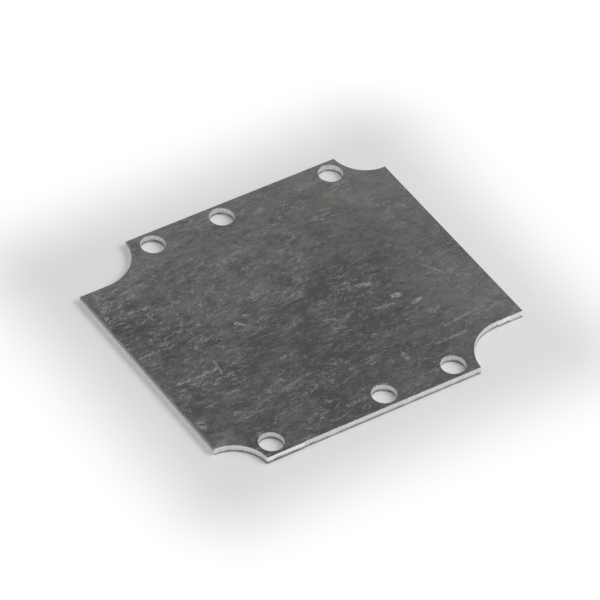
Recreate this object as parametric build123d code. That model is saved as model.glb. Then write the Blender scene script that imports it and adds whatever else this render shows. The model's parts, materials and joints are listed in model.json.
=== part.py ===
from build123d import *
import os
from math import asin, degrees, sqrt

# Flat steel cover plate for a small enclosure, blanked from sheet in one piece.
# The long edges run along X and the plate lies on its underside, at Z = 0.
# Its origin is the middle of that underside. The outline repeats after a half turn
# about Z, so a plate that is turned end for end fits the same enclosure.

# Sheet
plate_length = 65.0             # along X, over the uncut corners
plate_width = 57.3              # along Y
sheet_thickness = 1.5
roll_over_radius = 0.3          # underside edges, drawn down by the blanking tool

# Round notches, back right and front left: an arc that clears a corner pillar
round_notch_radius = 6.55
round_notch_inset = 0.3         # from the short edge in to the arc's centre
round_notch_overhang = 0.3      # from the long edge out to the arc's centre

# Stepped notches, back left and front right: a straight step that runs into an arc
stepped_notch_radius = 8.55
stepped_notch_depth = 8.0       # from the long edge in to the straight step
stepped_notch_run = 5.8         # length of the straight step, from the short edge

# Screw holes, three beside each long edge
hole_diameter = 4.5             # clearance for an M4 screw
long_edge_web = 0.7             # metal between a hole and its long edge
round_notch_web = 0.95          # metal between the outer hole and the round notch
stepped_notch_web = 2.05        # metal between the inner hole and the stepped notch

# Derived places, for the back half of the plate
half_length = plate_length / 2
half_width = plate_width / 2
hole_radius = hole_diameter / 2
hole_row_y = half_width - long_edge_web - hole_radius
roll_over = min(roll_over_radius, 0.45 * long_edge_web, 0.45 * sheet_thickness)

round_centre_x = half_length - round_notch_inset
round_centre_y = half_width + round_notch_overhang

step_y = half_width - stepped_notch_depth
stepped_centre_x = -half_length + stepped_notch_run
stepped_centre_y = step_y + stepped_notch_radius


def hole_reach(notch_radius, web, notch_centre_y):
    """Distance along X from a notch's centre to a hole that leaves this web of metal."""
    return sqrt((notch_radius + web + hole_radius) ** 2 - (notch_centre_y - hole_row_y) ** 2)


outer_hole_x = round_centre_x - hole_reach(
    round_notch_radius, round_notch_web, round_centre_y
)
inner_hole_x = stepped_centre_x + hole_reach(
    stepped_notch_radius, stepped_notch_web, stepped_centre_y
)


def back_outline():
    """Outline from the left end of the back step to the right end of the front step."""
    stepped_end = -degrees(asin((stepped_centre_y - half_width) / stepped_notch_radius))
    round_start = 180 + degrees(asin(round_notch_overhang / round_notch_radius))
    round_end = 270 + degrees(asin(round_notch_inset / round_notch_radius))

    step = Line((-half_length, step_y), (stepped_centre_x, step_y))
    stepped_arc = CenterArc(
        (stepped_centre_x, stepped_centre_y), stepped_notch_radius, -90, stepped_end + 90
    )
    round_arc = CenterArc(
        (round_centre_x, round_centre_y), round_notch_radius, round_start, round_end - round_start
    )
    long_edge = Line(stepped_arc @ 1, round_arc @ 0)
    short_edge = Line(round_arc @ 1, (half_length, -step_y))
    return Curve() + [step, stepped_arc, long_edge, round_arc, short_edge]


def blank():
    """Full outline: the back half and the same line turned half way round."""
    half = back_outline()
    return make_face(half + Rot(Z=180) * half)


def screw_holes():
    """Both rows of holes, the front row being the back row turned half way round."""
    back_row = [(x, hole_row_y) for x in (inner_hole_x, 0, outer_hole_x)]
    front_row = [(-x, -y) for x, y in back_row]
    return Locations(back_row + front_row) * Circle(hole_radius)


def cover_plate():
    """The punched plate, with its underside edges rolled over."""
    plate = extrude(blank() - screw_holes(), amount=sheet_thickness)
    underside_edges = plate.edges().group_by(Axis.Z)[0]
    return fillet(underside_edges, roll_over)


os.makedirs("parts", exist_ok=True)
export_step(cover_plate(), "parts/cover_plate.step")
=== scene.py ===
"""Models a punched steel cover plate with its zinc finish, and the studio it lies in."""

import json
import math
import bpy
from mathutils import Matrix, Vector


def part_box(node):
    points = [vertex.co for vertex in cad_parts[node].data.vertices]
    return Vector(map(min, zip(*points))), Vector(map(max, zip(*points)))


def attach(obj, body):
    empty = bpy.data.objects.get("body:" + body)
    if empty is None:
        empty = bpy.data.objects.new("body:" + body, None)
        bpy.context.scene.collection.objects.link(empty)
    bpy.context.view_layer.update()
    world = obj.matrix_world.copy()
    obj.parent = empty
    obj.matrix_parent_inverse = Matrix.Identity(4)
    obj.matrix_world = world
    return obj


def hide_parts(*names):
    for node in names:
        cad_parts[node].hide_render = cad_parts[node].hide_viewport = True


bl_info = {
    "name": "Punched cover plate",
    "version": (1, 0, 0),
    "blender": (4, 5, 0),
    "location": "3D View > Sidebar > Cover Plate",
    "description": "Builds a galvanised cover plate with pillar notches and screw holes",
    "category": "Object",
}

import bmesh
import bpy
from bpy.props import FloatProperty, FloatVectorProperty, PointerProperty
from mathutils import Matrix, Quaternion, Vector

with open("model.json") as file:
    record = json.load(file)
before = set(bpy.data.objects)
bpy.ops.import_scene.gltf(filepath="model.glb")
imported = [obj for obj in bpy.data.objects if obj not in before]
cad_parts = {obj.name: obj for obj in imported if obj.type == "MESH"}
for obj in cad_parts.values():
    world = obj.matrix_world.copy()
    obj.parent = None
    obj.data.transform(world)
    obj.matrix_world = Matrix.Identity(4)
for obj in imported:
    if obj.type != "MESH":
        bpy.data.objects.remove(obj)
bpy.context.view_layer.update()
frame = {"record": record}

MM = 0.001
NODE = "cover_plate"

# The CAD node gives the sheet, and the stated screw holes give each hole's place
plate_low, plate_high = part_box(NODE)
HALF_LENGTH = (plate_high.x - plate_low.x) / 2
HALF_WIDTH = (plate_high.y - plate_low.y) / 2
THICKNESS = plate_high.z - plate_low.z
MOUNTS = {mount["name"]: mount["dims"] for mount in frame["record"]["mounts"]}
HOLE_RADIUS = MOUNTS["middle_screw_holes"]["hole_r_mm"] * MM
HOLE_ROW_Y = MOUNTS["middle_screw_holes"]["spacing_y_mm"] / 2 * MM

# The front edge was cut twice: the first cut runs from the left end to here
FIRST_CUT_END_X = -18.1 * MM

# Nicks in the front right step, from the short edge: distance, width and depth
STEP_NICKS = ((3.05 * MM, 0.26 * MM, 0.12 * MM), (5.4 * MM, 0.3 * MM, 0.14 * MM))


def hole_x(mount_name):
    """Distance along X from the middle of the plate to a diagonal pair's hole."""
    return math.sqrt((MOUNTS[mount_name]["pcd_mm"] / 2 * MM) ** 2 - HOLE_ROW_Y**2)


# ---------------------------------------------------------------- properties


class PlateShape(bpy.types.PropertyGroup):
    """Sizes of the punched outline and its sheared edges."""

    round_radius: FloatProperty(
        name="Round Notch Radius",
        description="Radius of the arc that clears a corner pillar",
        default=6.55 * MM,
        unit="LENGTH",
    )
    round_inset: FloatProperty(
        name="Round Notch Inset",
        description="From the short edge in to the round notch's centre",
        default=0.3 * MM,
        unit="LENGTH",
    )
    round_overhang: FloatProperty(
        name="Round Notch Overhang",
        description="From the long edge out to the round notch's centre",
        default=0.3 * MM,
        unit="LENGTH",
    )
    step_radius: FloatProperty(
        name="Stepped Notch Radius",
        description="Radius of the arc that ends the straight step",
        default=8.55 * MM,
        unit="LENGTH",
    )
    step_depth: FloatProperty(
        name="Stepped Notch Depth",
        description="From the long edge in to the straight step",
        default=8.0 * MM,
        unit="LENGTH",
    )
    step_run: FloatProperty(
        name="Stepped Notch Run",
        description="Length of the straight step, from the short edge",
        default=5.8 * MM,
        unit="LENGTH",
    )
    roll_over: FloatProperty(
        name="Roll Over",
        description="Radius of the underside edges, drawn down by the blanking tool",
        default=0.15 * MM,
        unit="LENGTH",
    )
    burr: FloatProperty(
        name="Burr Flat",
        description="Width of the flat along the top edges",
        default=0.04 * MM,
        unit="LENGTH",
    )
    shear_step: FloatProperty(
        name="Shear Step",
        description="How far the front edge's second cut lies behind its first",
        default=0.1 * MM,
        unit="LENGTH",
    )
    left_roll: FloatProperty(
        name="Left Roll Over",
        description="Radius of the left edge's top, which was cut from the other side",
        default=0.3 * MM,
        unit="LENGTH",
    )
    left_slope: FloatProperty(
        name="Left Breakout",
        description="How far the left edge's wall slopes in towards the underside",
        default=0.42 * MM,
        unit="LENGTH",
    )


class PlateFinish(bpy.types.PropertyGroup):
    """Colours and wear of the zinc faces and the bare sheared edges."""

    zinc_dark: FloatVectorProperty(
        name="Dark Zinc",
        description="Colour of the dull zinc between its streaks",
        subtype="COLOR",
        size=3,
        default=(0.068, 0.0685, 0.0685),
    )
    zinc_light: FloatVectorProperty(
        name="Light Zinc",
        description="Colour of the paler zinc bloom",
        subtype="COLOR",
        size=3,
        default=(0.15, 0.151, 0.151),
    )
    streak: FloatVectorProperty(
        name="Streaks",
        description="Colour of the rubbed streaks along the rolling direction",
        subtype="COLOR",
        size=3,
        default=(0.34, 0.343, 0.343),
    )
    fracture: FloatVectorProperty(
        name="Fractured Edge",
        description="Colour of the bare metal that broke through in shearing",
        subtype="COLOR",
        size=3,
        default=(0.9, 0.9, 0.89),
    )
    # Dark band low on each sheared wall: partly the burnished metal's colour, partly painted shade at the
    # foot of the wall
    burnish_and_shade: FloatVectorProperty(
        name="Burnished Edge And Shade",
        description="Colour of the smooth band that the tool rubbed on the edge",
        subtype="COLOR",
        size=3,
        default=(0.2, 0.2, 0.2),
    )
    zinc_roughness: FloatProperty(
        name="Zinc Roughness",
        description="Roughness of the dull zinc",
        default=0.46,
        subtype="FACTOR",
    )


class PlateStudio(bpy.types.PropertyGroup):
    """Where the camera stands, and how the floor and lamps are set."""

    azimuth: FloatProperty(
        name="Camera Azimuth",
        description="Turn of the camera round the plate, from the front towards the right",
        default=math.radians(-36.31),
        unit="ROTATION",
    )
    elevation: FloatProperty(
        name="Camera Elevation",
        description="Height of the camera above the floor, as an angle",
        default=math.radians(43.36),
        unit="ROTATION",
    )
    roll: FloatProperty(
        name="Camera Roll",
        description="Tilt of the camera about its own view",
        default=math.radians(4.44),
        unit="ROTATION",
    )
    distance: FloatProperty(
        name="Camera Distance",
        description="From the camera to the point it looks at",
        default=947.2 * MM,
        unit="LENGTH",
    )
    aim: FloatVectorProperty(
        name="Camera Aim",
        description="The point that the camera looks at",
        subtype="TRANSLATION",
        size=3,
        default=(0.28 * MM, 0.95 * MM, 1.5 * MM),
    )
    lens: FloatProperty(
        name="Focal Length",
        description="Focal length on a 36 mm sensor, in millimetres",
        default=327.4,
    )
    # Colour of the floor; close to the plate, where it is not turned white, it shows as painted shade
    floor_tone: FloatVectorProperty(
        name="Floor Tone",
        description="Colour of the floor close to the plate",
        subtype="COLOR",
        size=3,
        default=(0.7, 0.7, 0.7),
    )
    # Painted shade: the floor is grey next to the plate and fades to white over this distance
    painted_shade_width: FloatProperty(
        name="Painted Shade Width",
        description="Distance over which the floor's tone fades to white",
        default=22 * MM,
        unit="LENGTH",
    )
    sky_light: FloatProperty(
        name="Sky Light",
        description="Strength of the even light from all round",
        default=0.68,
    )
    key_power: FloatProperty(
        name="Key Lamp",
        description="Power of the large soft lamp, in watts",
        default=6.5,
    )


# ---------------------------------------------------------------- plate mesh


def draw_to(bm, pen, x, y):
    """Draws a straight edge from the pen's vertex and returns the vertex at its end."""
    end = bmesh.ops.extrude_vert_indiv(bm, verts=[pen])["verts"][0]
    end.co = (x, y, pen.co.z)
    return end


def sweep(bm, pen, centre, angle, steps):
    """Draws an arc from the pen's vertex about a centre and returns the vertex at its end."""
    swept = bmesh.ops.spin(
        bm,
        geom=[pen],
        cent=(centre[0], centre[1], pen.co.z),
        axis=(0, 0, 1),
        angle=angle,
        steps=steps,
        use_merge=False,
    )
    return swept["geom_last"][0]


def draw_with_nicks(bm, pen, end, nicks):
    """Draws a straight edge to an end point, with nicks cut to the right of the line.

    Each nick is its distance from the start of the edge, its width and its depth."""
    start = pen.co.xy.copy()
    along = (Vector(end) - start).normalized()
    inward = Vector((-along.y, along.x)) * -1
    for distance, width, depth in nicks:
        middle = start + along * distance
        for offset, cut in ((-width / 2, 0), (-width / 5, depth), (width / 5, depth), (width / 2, 0)):
            pen = draw_to(bm, pen, *(middle + along * offset + inward * cut))
    return draw_to(bm, pen, *end)


def draw_half_outline(shape, step_nicks=(), shear_step_x=None):
    """Half of the plate's outline as a bmesh of edges: the back half, from left to right."""
    arc_steps = 48
    step_y = HALF_WIDTH - shape.step_depth
    step_centre = (-HALF_LENGTH + shape.step_run, step_y + shape.step_radius)
    round_centre = (HALF_LENGTH - shape.round_inset, HALF_WIDTH + shape.round_overhang)
    step_rise = math.asin((step_centre[1] - HALF_WIDTH) / shape.step_radius)
    overhang_angle = math.asin(shape.round_overhang / shape.round_radius)
    inset_angle = math.asin(shape.round_inset / shape.round_radius)

    bm = bmesh.new()
    pen = bm.verts.new((-HALF_LENGTH, step_y, 0))
    pen = draw_with_nicks(bm, pen, (step_centre[0], step_y), step_nicks)
    pen = sweep(bm, pen, step_centre, math.pi / 2 - step_rise, arc_steps)
    if shear_step_x is not None:
        pen = draw_to(bm, pen, shear_step_x, HALF_WIDTH - shape.shear_step)
        pen = draw_to(bm, pen, shear_step_x, HALF_WIDTH)
    round_start_x = round_centre[0] - shape.round_radius * math.cos(overhang_angle)
    pen = draw_to(bm, pen, round_start_x, HALF_WIDTH)
    pen = sweep(bm, pen, round_centre, math.pi / 2 - overhang_angle + inset_angle, arc_steps)
    draw_to(bm, pen, HALF_LENGTH, -step_y)
    return bm


def join_into(target, source, turn):
    """Adds one bmesh to another, turned about Z."""
    bmesh.ops.rotate(source, verts=source.verts, cent=(0, 0, 0), matrix=Matrix.Rotation(turn, 3, "Z"))
    carrier = bpy.data.meshes.new("carrier")
    source.to_mesh(carrier)
    source.free()
    target.from_mesh(carrier)
    bpy.data.meshes.remove(carrier)


def punch_outline(shape):
    """The whole outline and the rims of the six holes, as edges in the top face's plane."""
    bm = bmesh.new()
    back = draw_half_outline(shape)
    front = draw_half_outline(shape, step_nicks=STEP_NICKS, shear_step_x=-FIRST_CUT_END_X)
    join_into(bm, back, 0)
    join_into(bm, front, math.pi)
    bmesh.ops.remove_doubles(bm, verts=bm.verts, dist=0.01 * MM)

    outer_x = hole_x("outer_screw_holes")
    inner_x = hole_x("inner_screw_holes")
    for side in (1, -1):
        for x in (-inner_x, 0, outer_x):
            place = Matrix.Translation((side * x, side * HOLE_ROW_Y, 0))
            bmesh.ops.create_circle(bm, cap_ends=False, segments=72, radius=HOLE_RADIUS, matrix=place)
    bmesh.ops.translate(bm, verts=bm.verts, vec=(0, 0, plate_high.z))
    return bm


def rim_edges(bm, height):
    """The sharp edges that lie at this height, round the outline and the holes."""
    level = 0.001 * MM
    return [
        edge
        for edge in bm.edges
        if all(abs(vert.co.z - height) < level for vert in edge.verts)
        and edge.calc_face_angle(0) > math.radians(60)
    ]


def is_flat(face):
    """Whether a face belongs to the top or the underside."""
    return abs(face.normal.z) > 0.999


def bevel_rim(bm, height, width, segments):
    """Rounds every edge at one height."""
    bmesh.ops.bevel(
        bm,
        geom=rim_edges(bm, height),
        offset=width,
        offset_type="OFFSET",
        segments=segments,
        profile=0.5,
        affect="EDGES",
        material=-1,
        clamp_overlap=True,
    )


def left_facing(shape, vert):
    """For a point near a left-facing edge: the way into the metal, a share and the inset.

    The left edge has the full share, and the back left arc loses it as it turns away."""
    reach = 1.5 * MM
    past_step = 3 * MM
    least_lean, full_lean = 0.6, 0.85
    step_y = HALF_WIDTH - shape.step_depth
    arc_centre = Vector((-HALF_LENGTH + shape.step_run, step_y + shape.step_radius))
    spoke = vert.co.xy - arc_centre
    if spoke.length < shape.step_radius + reach and spoke.x > 0:
        lean = spoke.x / spoke.length
        share = min(max((lean - least_lean) / (full_lean - least_lean), 0), 1)
        return spoke.normalized(), share, spoke.length - shape.step_radius
    if vert.co.x < -HALF_LENGTH + reach and abs(vert.co.y) < step_y + past_step:
        return Vector((1, 0)), 1, vert.co.x + HALF_LENGTH
    return None


def press_left_edges(bm, shape):
    """Rolls the top of the left-facing edges over and slopes their walls in below."""
    roll, rings = shape.left_roll, 5
    for ring in range(1, rings + 1):
        level = plate_high.z - roll * (1 - math.cos(math.pi / 2 * ring / rings))
        bmesh.ops.bisect_plane(
            bm, geom=bm.verts[:] + bm.edges[:] + bm.faces[:], plane_co=(0, 0, level), plane_no=(0, 0, 1)
        )
    for vert in bm.verts:
        facing = left_facing(shape, vert)
        if facing is None:
            continue
        inward, share, inset = facing
        depth = plate_high.z - vert.co.z
        if depth < roll:
            wanted = roll - math.sqrt(max(roll**2 - (roll - depth) ** 2, 0))
        else:
            wanted = shape.left_slope * (depth - roll) / (THICKNESS - roll)
        move = max(wanted * share - inset, 0)
        vert.co.xy += inward * move


def plate_mesh(shape):
    """The punched plate: a filled outline drawn down through the sheet, with finished rims."""
    bm = punch_outline(shape)
    bmesh.ops.triangle_fill(bm, edges=bm.edges, use_beauty=True, normal=(0, 0, 1))
    top = bm.faces[:]
    drawn = bmesh.ops.extrude_face_region(bm, geom=top)
    lower_verts = [item for item in drawn["geom"] if isinstance(item, bmesh.types.BMVert)]
    bmesh.ops.translate(bm, verts=lower_verts, vec=(0, 0, -THICKNESS))
    bmesh.ops.recalc_face_normals(bm, faces=bm.faces)
    bevel_rim(bm, plate_low.z, shape.roll_over, 5)
    bevel_rim(bm, plate_high.z, shape.burr, 1)
    press_left_edges(bm, shape)

    for face in bm.faces:
        shares = [facing[1] for facing in (left_facing(shape, vert) for vert in face.verts) if facing]
        left = len(shares) == len(face.verts) and min(shares) > 0 and face.normal.x < -0.3
        face.material_index = 0 if is_flat(face) else 2 if left else 1
        face.smooth = not is_flat(face)
    for edge in bm.edges:
        flats = [is_flat(face) for face in edge.link_faces]
        edge.smooth = edge.calc_face_angle(0) < math.radians(30) and len(set(flats)) < 2
    mesh = bpy.data.meshes.new("punched_plate")
    bm.to_mesh(mesh)
    bm.free()
    return mesh


# ---------------------------------------------------------------- shader helpers


def add_node(tree, kind, **settings):
    """Adds a node and sets its own settings."""
    node = tree.nodes.new(kind)
    for name, value in settings.items():
        setattr(node, name, value)
    return node


def feed(tree, socket, value):
    """Links a socket into an input, or sets the input to a plain value."""
    if isinstance(value, bpy.types.NodeSocket):
        tree.links.new(value, socket)
    else:
        socket.default_value = value


def maths(tree, operation, first, second=0.0, clamp=False):
    """One Math node's result."""
    node = add_node(tree, "ShaderNodeMath", operation=operation, use_clamp=clamp)
    feed(tree, node.inputs[0], first)
    feed(tree, node.inputs[1], second)
    return node.outputs[0]


def vector_maths(tree, operation, first, second=(0.0, 0.0, 0.0)):
    """One Vector Math node's vector."""
    node = add_node(tree, "ShaderNodeVectorMath", operation=operation)
    feed(tree, node.inputs[0], first)
    feed(tree, node.inputs[1], second)
    return node.outputs[0]


def remap(tree, value, low, high, to_low=0.0, to_high=1.0, smooth=False):
    """A value carried from one range to another, held at its ends."""
    node = add_node(tree, "ShaderNodeMapRange", clamp=True)
    if smooth:
        node.interpolation_type = "SMOOTHSTEP"
    settings = {"Value": value, "From Min": low, "From Max": high, "To Min": to_low, "To Max": to_high}
    for name, number in settings.items():
        feed(tree, node.inputs[name], number)
    return node.outputs["Result"]


def blend_colour(tree, factor, first, second, mode="MIX"):
    """Two colours mixed by a factor."""
    node = add_node(tree, "ShaderNodeMix", data_type="RGBA", blend_type=mode)
    feed(tree, node.inputs["Factor"], factor)
    for socket, value in ((node.inputs[6], first), (node.inputs[7], second)):
        feed(tree, socket, (*value, 1.0) if isinstance(value, tuple) and len(value) == 3 else value)
    return node.outputs[2]


def drift_vector(tree, value):
    """A value, less a half, as the X and Y of a vector."""
    centred = maths(tree, "SUBTRACT", value, 0.5)
    node = add_node(tree, "ShaderNodeCombineXYZ")
    for axis in ("X", "Y"):
        feed(tree, node.inputs[axis], centred)
    return node.outputs[0]


def noise(tree, position, stretch, size, detail=2.0, roughness=0.5, turn=0.0):
    """Noise of this grain size in metres, stretched along its axes and turned in degrees."""
    mapping = add_node(tree, "ShaderNodeMapping", vector_type="TEXTURE")
    feed(tree, mapping.inputs["Vector"], position)
    mapping.inputs["Rotation"].default_value = (0, 0, math.radians(turn))
    mapping.inputs["Scale"].default_value = [size * part for part in stretch]
    node = add_node(tree, "ShaderNodeTexNoise", noise_dimensions="3D")
    feed(tree, node.inputs["Vector"], mapping.outputs["Vector"])
    node.inputs["Scale"].default_value = 1.0
    node.inputs["Detail"].default_value = detail
    node.inputs["Roughness"].default_value = roughness
    return node.outputs["Fac"]


def new_group(name, inputs, outputs):
    """An empty shader group with named sockets, and its input and output nodes."""
    group = bpy.data.node_groups.new(name, "ShaderNodeTree")
    for socket, kind, default in inputs:
        item = group.interface.new_socket(socket, in_out="INPUT", socket_type=kind)
        if default is not None:
            item.default_value = default
    for socket in outputs:
        group.interface.new_socket(socket, in_out="OUTPUT", socket_type="NodeSocketFloat")
    return group, group.nodes.new("NodeGroupInput"), group.nodes.new("NodeGroupOutput")


def use_group(tree, group, **inputs):
    """Places a group in a tree and feeds its inputs."""
    node = add_node(tree, "ShaderNodeGroup", node_tree=group)
    for name, value in inputs.items():
        feed(tree, node.inputs[name], value)
    return node.outputs


def zinc_grain_group():
    """The dull zinc coat's pattern: broad bloom, mottle, rolled streaks and bright flecks."""
    group, given, made = new_group(
        "zinc_grain",
        [("Position", "NodeSocketVector", None)],
        ["Bloom", "Mottle", "Lines", "Streaks", "Flecks", "Tint"],
    )
    position = given.outputs["Position"]
    bloom = noise(group, position, (1.2, 1.0, 1.0), 11 * MM, detail=3.0)
    mottle = noise(group, position, (1.6, 1.0, 1.0), 2.6 * MM, detail=6.0, roughness=0.78)
    lines = noise(group, position, (3.4, 1.0, 1.0), 0.42 * MM, detail=3.0, roughness=0.65, turn=4)

    # Curved hairlines, gathered in patches
    contour = noise(group, position, (2.8, 1.0, 1.0), 1.3 * MM, detail=4.0, roughness=0.6, turn=5)
    ridge = remap(group, maths(group, "ABSOLUTE", maths(group, "SUBTRACT", contour, 0.53)), 0.026, 0.0)
    where = noise(group, position, (1.8, 1.0, 1.0), 2.6 * MM, detail=4.0, roughness=0.7, turn=12)
    streaks = maths(group, "MULTIPLY", ridge, remap(group, where, 0.47, 0.58))
    speck = noise(group, position, (2.2, 1.0, 1.0), 0.34 * MM, detail=2.0)
    flecks = remap(group, speck, 0.6, 0.72)
    tint = noise(group, position, (1.2, 1.0, 1.0), 5 * MM, detail=4.0, roughness=0.65, turn=-15)
    for name, value in (
        ("Bloom", bloom),
        ("Mottle", mottle),
        ("Lines", lines),
        ("Streaks", streaks),
        ("Flecks", flecks),
        ("Tint", tint),
    ):
        feed(group, made.inputs[name], value)
    return group


def scratch_group():
    """An uneven mark along a straight line between two places on the plate."""
    group, given, made = new_group(
        "scratch",
        [
            ("Position", "NodeSocketVector", None),
            ("Start", "NodeSocketVector", None),
            ("Reach", "NodeSocketVector", None),
            ("Width", "NodeSocketFloat", 0.2 * MM),
        ],
        ["Mask"],
    )
    position, reach = given.outputs["Position"], given.outputs["Reach"]
    wander = noise(group, position, (1.0, 1.0, 1.0), 0.7 * MM, detail=4.0, roughness=0.7)
    drift = vector_maths(group, "MULTIPLY", (0.6 * MM, 1.9 * MM, 0), drift_vector(group, wander))
    place = vector_maths(group, "SUBTRACT", position, given.outputs["Start"])
    place = vector_maths(group, "MULTIPLY", vector_maths(group, "ADD", place, drift), (1.0, 1.0, 0.0))
    along = add_node(group, "ShaderNodeVectorMath", operation="DOT_PRODUCT")
    feed(group, along.inputs[0], place)
    feed(group, along.inputs[1], reach)
    square = add_node(group, "ShaderNodeVectorMath", operation="DOT_PRODUCT")
    feed(group, square.inputs[0], reach)
    feed(group, square.inputs[1], reach)
    share = maths(group, "DIVIDE", along.outputs["Value"], square.outputs["Value"], clamp=True)
    nearest = add_node(group, "ShaderNodeVectorMath", operation="SCALE")
    feed(group, nearest.inputs[0], reach)
    feed(group, nearest.inputs["Scale"], share)
    gap = add_node(group, "ShaderNodeVectorMath", operation="DISTANCE")
    feed(group, gap.inputs[0], place)
    feed(group, gap.inputs[1], nearest.outputs[0])
    near = remap(group, gap.outputs["Value"], given.outputs["Width"], 0.0, smooth=True)
    gaps = noise(group, position, (1.0, 1.0, 1.0), 0.45 * MM, detail=3.0)
    broken = remap(group, gaps, 0.38, 0.54, 0.15, 1.0)
    feed(group, made.inputs["Mask"], maths(group, "MULTIPLY", near, broken))
    return group


def fine_wear_group():
    """Pits and rub marks finer than the grain, for the zinc and the bare metal alike."""
    group, given, made = new_group(
        "fine_wear",
        [("Position", "NodeSocketVector", None)],
        ["Pits", "Rub"],
    )
    position = given.outputs["Position"]
    feed(group, made.inputs["Pits"], noise(group, position, (1.0, 1.0, 1.0), 0.14 * MM, detail=2.0))
    feed(group, made.inputs["Rub"], noise(group, position, (3.0, 1.0, 1.0), 0.7 * MM, detail=3.0))
    return group


def object_position(tree):
    """The position on the plate, in metres."""
    return add_node(tree, "ShaderNodeTexCoord").outputs["Object"]


def new_material(name):
    """An empty material with its Principled shader."""
    material = bpy.data.materials.new(name)
    material.use_nodes = True
    tree = material.node_tree
    return material, tree, tree.nodes["Principled BSDF"]


def bump(tree, height, strength, distance):
    """A normal raised by a height."""
    node = add_node(tree, "ShaderNodeBump")
    node.inputs["Strength"].default_value = strength
    node.inputs["Distance"].default_value = distance
    feed(tree, node.inputs["Height"], height)
    return node.outputs["Normal"]


def stain(tree, position, centre, radius, soft):
    """A soft round mask about a place on the plate."""
    offset = vector_maths(tree, "SUBTRACT", position, centre)
    flat = vector_maths(tree, "MULTIPLY", offset, (1.0, 1.0, 0.0))
    length = add_node(tree, "ShaderNodeVectorMath", operation="LENGTH")
    feed(tree, length.inputs[0], flat)
    return remap(tree, length.outputs["Value"], radius, radius - soft, smooth=True)


# Patches of the zinc that are darker or paler than the rest: place, radius and shade, in mm
PATCHES = (
    ((8, -3), 15, -0.3),
    ((-4, -15), 15, -0.18),
    ((-8, -25), 9, -0.15),
    ((28, -14), 12, 0.25),
    ((-6, 6), 9, 0.16),
    ((-28, 6), 12, -0.15),
    ((12, 14), 8, -0.1),
    ((3, -14), 11, -0.18),
    ((-26, 12), 10, -0.18),
    ((26, -4), 9, 0.15),
)

# Rubbed marks and scratches on the top face: start, end, width in mm, and strength
SCRATCHES = (
    ((8.3, -0.6), (11.2, -0.9), 0.5, 0.5),
    ((11.2, -1.2), (13.0, -1.7), 0.6, 0.8),
    ((9.0, 0.6), (10.0, 0.4), 0.4, 0.7),
    ((14.9, -6.2), (16.1, -6.5), 0.6, 1.0),
    ((10.3, -7.3), (14.2, -8.0), 0.4, 0.7),
    ((17.0, -9.5), (18.7, -9.0), 0.45, 0.8),
    ((8.3, -19.3), (8.5, -20.4), 0.7, 0.6),
    ((23.9, -2.2), (25.9, -5.7), 0.28, 0.5),
    ((-12.8, 1.6), (-11.3, 0.4), 0.35, 0.8),
    ((-10.3, 2.4), (-9.8, 2.2), 0.4, 0.7),
    ((-20.9, -4.4), (-21.2, -7.2), 0.28, 0.6),
    ((-29.5, -6.3), (-21.6, -6.3), 0.38, 0.7),
    ((-27.4, 12.9), (-23.5, 12.6), 0.36, 0.7),
    ((-31.6, 2.3), (-27.6, 2.5), 0.35, 0.5),
    ((-31.5, -17.0), (-30.6, -17.2), 0.5, 0.8),
    ((-23.2, -12.2), (-21.0, -12.4), 0.35, 0.7),
    ((-20.0, -17.2), (-8.0, -15.0), 0.3, 0.35),
    ((18.4, -17.0), (26.0, -16.1), 0.3, 0.5),
    ((14.5, -19.9), (21.0, -19.9), 0.36, 0.5),
    ((-7.2, -24.9), (-3.0, -25.0), 0.34, 0.6),
    ((1.0, -5.3), (2.9, -6.1), 0.35, 0.6),
    ((21.3, 5.0), (21.7, 5.0), 0.3, 0.9),
    ((-31.5, 13.5), (-31.1, 13.5), 0.35, 1.0),
    ((-20.5, 10.7), (-18.2, 11.2), 0.5, 0.4),
    ((5.6, 23.4), (7.2, 23.9), 0.7, 0.35),
    ((1.0, -23.7), (1.7, -23.8), 0.35, 1.0),
    ((-32.2, -22.3), (-30.4, -22.7), 0.45, 1.0),
)


def plate_vector(place):
    """A place on the plate given in mm, as a vector in metres."""
    return (place[0] * MM, place[1] * MM, 0.0)


def patches(tree, position):
    """The summed shade of the dark and pale patches."""
    total = 0.0
    for centre, radius, shade in PATCHES:
        mask = stain(tree, position, plate_vector(centre), radius * MM, radius * MM)
        total = maths(tree, "ADD", total, maths(tree, "MULTIPLY", mask, shade))
    return total


def scratches(tree, position, scratch):
    """The strongest of the rubbed marks and scratches at each point."""
    strongest = 0.0
    for start, end, width, strength in SCRATCHES:
        reach = plate_vector((end[0] - start[0], end[1] - start[1]))
        mask = use_group(
            tree, scratch, Position=position, Start=plate_vector(start), Reach=reach, Width=1.25 * width * MM
        )["Mask"]
        strongest = maths(tree, "MAXIMUM", strongest, maths(tree, "MULTIPLY", mask, strength))
    return strongest


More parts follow.
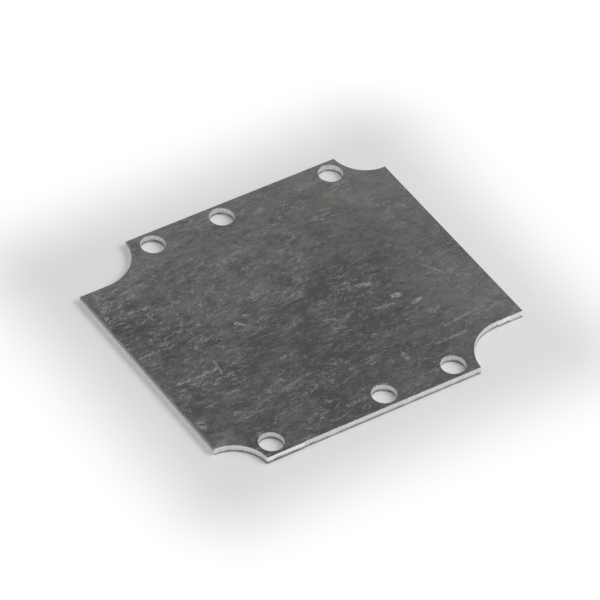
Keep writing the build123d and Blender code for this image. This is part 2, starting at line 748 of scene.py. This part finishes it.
def galvanised_face(finish, grain, wear, scratch):
    """Dull zinc over the sheet's two faces."""
    material, tree, shader = new_material("galvanised_face")
    position = object_position(tree)
    pattern = use_group(tree, grain, Position=position)
    marks = use_group(tree, wear, Position=position)
    axes = add_node(tree, "ShaderNodeSeparateXYZ")
    feed(tree, axes.inputs[0], position)

    # The pattern stands out more towards the left
    contrast = remap(tree, axes.outputs["X"], -HALF_LENGTH, 0.6 * HALF_LENGTH, 1.25, 0.8)
    level = 0.0
    for name, share in (("Bloom", 0.5), ("Mottle", 2.6), ("Lines", 0.9)):
        centred = maths(tree, "SUBTRACT", pattern[name], 0.5)
        level = maths(tree, "ADD", level, maths(tree, "MULTIPLY", centred, share))
    pits = maths(tree, "SUBTRACT", marks["Pits"], 0.5)
    level = maths(tree, "ADD", level, maths(tree, "MULTIPLY", pits, 1.1))
    level = maths(tree, "MULTIPLY", level, contrast)
    # Paler towards the back and the right: partly the zinc's own tone, partly painted light
    back_tone_and_painted_light = remap(tree, axes.outputs["Y"], 2 * MM, 28 * MM, 0.0, 0.42)
    right_tone_and_painted_light = remap(tree, axes.outputs["X"], 14 * MM, HALF_LENGTH, 0.0, 0.28)
    shade = maths(tree, "ADD", maths(tree, "ADD", back_tone_and_painted_light, right_tone_and_painted_light), patches(tree, position))
    level = maths(tree, "ADD", level, shade)
    level = maths(tree, "ADD", level, 0.33, clamp=True)
    colour = blend_colour(tree, level, tuple(finish.zinc_dark), tuple(finish.zinc_light))
    warm = remap(tree, pattern["Tint"], 0.36, 0.64)
    tint = blend_colour(tree, warm, (0.965, 1.0, 1.0), (1.02, 1.0, 0.945))
    colour = blend_colour(tree, 1.0, colour, tint, "MULTIPLY")
    rubbed = maths(tree, "MAXIMUM", pattern["Streaks"], maths(tree, "MULTIPLY", pattern["Flecks"], 0.45))
    rubbed = maths(tree, "MULTIPLY", rubbed, maths(tree, "MULTIPLY", contrast, 0.62))
    rubbed = maths(tree, "MAXIMUM", rubbed, scratches(tree, position, scratch))
    colour = blend_colour(tree, maths(tree, "MULTIPLY", rubbed, 0.9), colour, tuple(finish.streak))
    feed(tree, shader.inputs["Base Color"], colour)

    shader.inputs["Metallic"].default_value = 1.0
    smoothest, roughest = finish.zinc_roughness - 0.06, finish.zinc_roughness + 0.06
    feed(tree, shader.inputs["Roughness"], remap(tree, marks["Rub"], 0.3, 0.7, smoothest, roughest))
    height = maths(tree, "ADD", pattern["Mottle"], maths(tree, "MULTIPLY", pattern["Lines"], 0.5))
    feed(tree, shader.inputs["Normal"], bump(tree, height, 0.2, 0.05 * MM))
    return material


def sheared_edge(finish, wear):
    """Bare metal of the sheared walls: dark low down, partly burnished band and partly painted shade,
    fractured and bright above, with painted highlight on the front's first cut and the step walls.
    """
    material, tree, shader = new_material("sheared_edge")
    position = object_position(tree)
    marks = use_group(tree, wear, Position=position)
    lines = noise(tree, position, (1.0, 1.0, 12.0), 0.22 * MM, detail=3.0, roughness=0.6)
    wander = noise(tree, position, (1.0, 1.0, 20.0), 2.2 * MM, detail=2.0)

    # The first cut of the front edge, at its left end, left a deeper burnished band, partly painted shade;
    # its brighter break, like the step walls', is painted highlight
    axes = add_node(tree, "ShaderNodeSeparateXYZ")
    feed(tree, axes.inputs[0], position)
    blend = 0.2 * MM
    front = remap(tree, axes.outputs["Y"], -HALF_WIDTH + 3 * blend, -HALF_WIDTH + blend)
    first = remap(tree, axes.outputs["X"], FIRST_CUT_END_X + blend, FIRST_CUT_END_X - blend)
    first_cut = maths(tree, "MULTIPLY", first, front)
    step = remap(tree, axes.outputs["X"], HALF_LENGTH - 5.9 * MM, HALF_LENGTH - 5.3 * MM)
    step_highlight = maths(tree, "MULTIPLY", step, remap(tree, wander, 0.42, 0.5, 0.35, 1.0))
    painted_highlight = maths(tree, "MAXIMUM", first_cut, step_highlight)
    break_height = remap(tree, first_cut, 0, 1, 0.75 * MM, 0.95 * MM)
    top = maths(tree, "ADD", break_height, remap(tree, wander, 0.3, 0.7, -0.15 * MM, 0.15 * MM))
    broken = remap(tree, axes.outputs["Z"], maths(tree, "SUBTRACT", top, 0.75 * MM), top, smooth=True)
    grain = maths(tree, "ADD", lines, maths(tree, "MULTIPLY", marks["Pits"], 0.5))
    bright = remap(tree, grain, 0.5, 1.0)
    fracture = blend_colour(tree, bright, (0.66, 0.66, 0.65), tuple(finish.fracture))
    # Painted highlight: the break turns near white on the first cut and the step walls
    fracture = blend_colour(tree, maths(tree, "MULTIPLY", painted_highlight, 0.9), fracture, (1.0, 1.0, 0.99))
    # Dark low band: partly the burnished metal's colour, partly painted shade at the foot of the wall
    colour = blend_colour(tree, broken, tuple(finish.burnish_and_shade), fracture)
    ragged = maths(tree, "SUBTRACT", axes.outputs["Z"], maths(tree, "MULTIPLY", marks["Pits"], 0.2 * MM))
    lip = remap(tree, ragged, plate_high.z - 0.26 * MM, plate_high.z - 0.06 * MM, smooth=True)
    colour = blend_colour(tree, lip, colour, tuple(finish.zinc_light))
    feed(tree, shader.inputs["Base Color"], colour)

    shader.inputs["Metallic"].default_value = 1.0
    feed(tree, shader.inputs["Roughness"], remap(tree, broken, 0.0, 1.0, 0.35, 0.5))
    feed(tree, shader.inputs["Normal"], bump(tree, lines, 0.2, 0.04 * MM))
    return material


def drawn_edge(finish, wear):
    """Smooth metal of the left-facing edges: dull where it rolls over, paler below."""
    material, tree, shader = new_material("drawn_edge")
    position = object_position(tree)
    marks = use_group(tree, wear, Position=position)
    axes = add_node(tree, "ShaderNodeSeparateXYZ")
    feed(tree, axes.inputs[0], position)
    depth = maths(tree, "SUBTRACT", axes.outputs["Z"], maths(tree, "MULTIPLY", marks["Rub"], 0.2 * MM))
    low = remap(tree, depth, plate_high.z, 0.5 * MM)
    colour = blend_colour(tree, low, tuple(finish.zinc_dark), tuple(finish.fracture))
    feed(tree, shader.inputs["Base Color"], colour)
    shader.inputs["Metallic"].default_value = 1.0
    shader.inputs["Roughness"].default_value = 0.5
    return material


# ---------------------------------------------------------------- operators


class COVERPLATE_OT_plate(bpy.types.Operator):
    """Model the punched plate and give it its zinc faces and sheared edges"""

    bl_idname = "coverplate.plate"
    bl_label = "Build Plate"

    def execute(self, context):
        grain, wear, scratch = zinc_grain_group(), fine_wear_group(), scratch_group()
        finish = context.scene.plate_finish
        mesh = plate_mesh(context.scene.plate_shape)
        mesh.materials.append(galvanised_face(finish, grain, wear, scratch))
        mesh.materials.append(sheared_edge(finish, wear))
        mesh.materials.append(drawn_edge(finish, wear))
        plate = bpy.data.objects.new("punched_plate", mesh)
        context.scene.collection.objects.link(plate)
        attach(plate, "root")
        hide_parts(NODE)
        return {"FINISHED"}


def white_for_view(tree):
    """1 where a ray comes from the camera, a reflection or a clear material, else 0."""
    path = add_node(tree, "ShaderNodeLightPath")
    seen = maths(tree, "MAXIMUM", path.outputs["Is Camera Ray"], path.outputs["Is Glossy Ray"])
    return maths(tree, "MAXIMUM", seen, path.outputs["Is Transmission Ray"])


def floor_material(studio):
    """Pale floor with painted shade about the plate: grey close to it, fading to white away from it."""
    material = bpy.data.materials.new("studio_floor")
    material.use_nodes = True
    tree = material.node_tree
    tree.nodes.clear()
    offset = vector_maths(tree, "ABSOLUTE", object_position(tree))
    offset = vector_maths(tree, "SUBTRACT", offset, (HALF_LENGTH, HALF_WIDTH, 0))
    offset = vector_maths(tree, "MAXIMUM", offset, (0, 0, 0))
    length = add_node(tree, "ShaderNodeVectorMath", operation="LENGTH")
    feed(tree, length.inputs[0], offset)
    # Painted shade round the plate: grey close by, white further out for camera and reflection rays
    painted_shade_fade = remap(tree, length.outputs["Value"], 0.0, studio.painted_shade_width, smooth=True)
    paper = add_node(tree, "ShaderNodeBsdfDiffuse")
    paper.inputs["Color"].default_value = (*studio.floor_tone, 1)
    white = add_node(tree, "ShaderNodeEmission")
    mix = add_node(tree, "ShaderNodeMixShader")
    feed(tree, mix.inputs[0], maths(tree, "MULTIPLY", painted_shade_fade, white_for_view(tree)))
    feed(tree, mix.inputs[1], paper.outputs[0])
    feed(tree, mix.inputs[2], white.outputs[0])
    output = add_node(tree, "ShaderNodeOutputMaterial")
    feed(tree, output.inputs["Surface"], mix.outputs[0])
    return material


def build_floor(scene, studio):
    """A wide round floor under the plate."""
    bm = bmesh.new()
    bmesh.ops.create_circle(bm, cap_ends=True, segments=96, radius=6.0)
    mesh = bpy.data.meshes.new("studio_floor")
    bm.to_mesh(mesh)
    bm.free()
    mesh.materials.append(floor_material(studio))
    floor = bpy.data.objects.new("studio_floor", mesh)
    scene.collection.objects.link(floor)


def build_sky(scene, studio):
    """Even light from all round, seen as plain white."""
    world = bpy.data.worlds.new("studio_sky")
    world.use_nodes = True
    tree = world.node_tree
    sky = tree.nodes["Background"]
    sky.inputs["Color"].default_value = (1, 1, 1, 1)
    strength = remap(tree, white_for_view(tree), 0.0, 1.0, studio.sky_light, 1.0)
    feed(tree, sky.inputs["Strength"], strength)
    scene.world = world


def build_key_lamp(scene, studio):
    """A large soft lamp to the right of the camera."""
    lamp = bpy.data.lights.new("key_lamp", "AREA")
    lamp.shape = "DISK"
    lamp.size = 0.7
    lamp.energy = studio.key_power
    holder = bpy.data.objects.new("key_lamp", lamp)
    azimuth, elevation, distance = math.radians(48), math.radians(48), 1.2
    reach = distance * math.cos(elevation)
    place = Vector((reach * math.sin(azimuth), -reach * math.cos(azimuth), distance * math.sin(elevation)))
    holder.location = place
    holder.rotation_euler = (-place).to_track_quat("-Z", "Y").to_euler()
    scene.collection.objects.link(holder)


def build_camera(scene, studio):
    """The camera, looking down on the plate from the front left."""
    lens = bpy.data.cameras.new("camera")
    lens.sensor_width = 36
    lens.lens = studio.lens
    lens.clip_start = 0.05
    camera = bpy.data.objects.new("camera", lens)
    across = math.cos(studio.elevation)
    back = Vector((
        math.sin(studio.azimuth) * across,
        -math.cos(studio.azimuth) * across,
        math.sin(studio.elevation),
    ))
    camera.location = Vector(studio.aim) + back * studio.distance
    camera.rotation_mode = "QUATERNION"
    roll = Quaternion((0, 0, 1), studio.roll)
    camera.rotation_quaternion = (-back).to_track_quat("-Z", "Y") @ roll
    scene.collection.objects.link(camera)
    scene.camera = camera


class COVERPLATE_OT_studio(bpy.types.Operator):
    """Set up the pale floor, the soft light and the camera"""

    bl_idname = "coverplate.studio"
    bl_label = "Build Studio"

    def execute(self, context):
        scene, studio = context.scene, context.scene.plate_studio
        build_floor(scene, studio)
        build_sky(scene, studio)
        build_key_lamp(scene, studio)
        build_camera(scene, studio)
        scene.view_settings.view_transform = "Standard"
        return {"FINISHED"}


class COVERPLATE_PT_sidebar(bpy.types.Panel):
    """Lists the plate's sizes and the operators that build it"""

    bl_idname = "COVERPLATE_PT_sidebar"
    bl_label = "Cover Plate"
    bl_space_type = "VIEW_3D"
    bl_region_type = "UI"
    bl_category = "Cover Plate"

    def draw(self, context):
        for group_name, operator in (
            ("plate_shape", "coverplate.plate"),
            ("plate_finish", None),
            ("plate_studio", "coverplate.studio"),
        ):
            box = self.layout.box()
            group = getattr(context.scene, group_name)
            for name in group.__annotations__:
                box.prop(group, name)
            if operator:
                box.operator(operator)


GROUPS = {"plate_shape": PlateShape, "plate_finish": PlateFinish, "plate_studio": PlateStudio}
CLASSES = (*GROUPS.values(), COVERPLATE_OT_plate, COVERPLATE_OT_studio, COVERPLATE_PT_sidebar)


def register():
    """Registers the classes and their places on the scene."""
    for item in CLASSES:
        bpy.utils.register_class(item)
    for name, group in GROUPS.items():
        setattr(bpy.types.Scene, name, PointerProperty(type=group))


def unregister():
    """Takes the classes and their places away again."""
    for name in GROUPS:
        delattr(bpy.types.Scene, name)
    for item in reversed(CLASSES):
        bpy.utils.unregister_class(item)


def main():
    """Builds everything in order."""
    register()
    bpy.ops.coverplate.studio()
    bpy.ops.coverplate.plate()


if __name__ == "__main__":
    main()
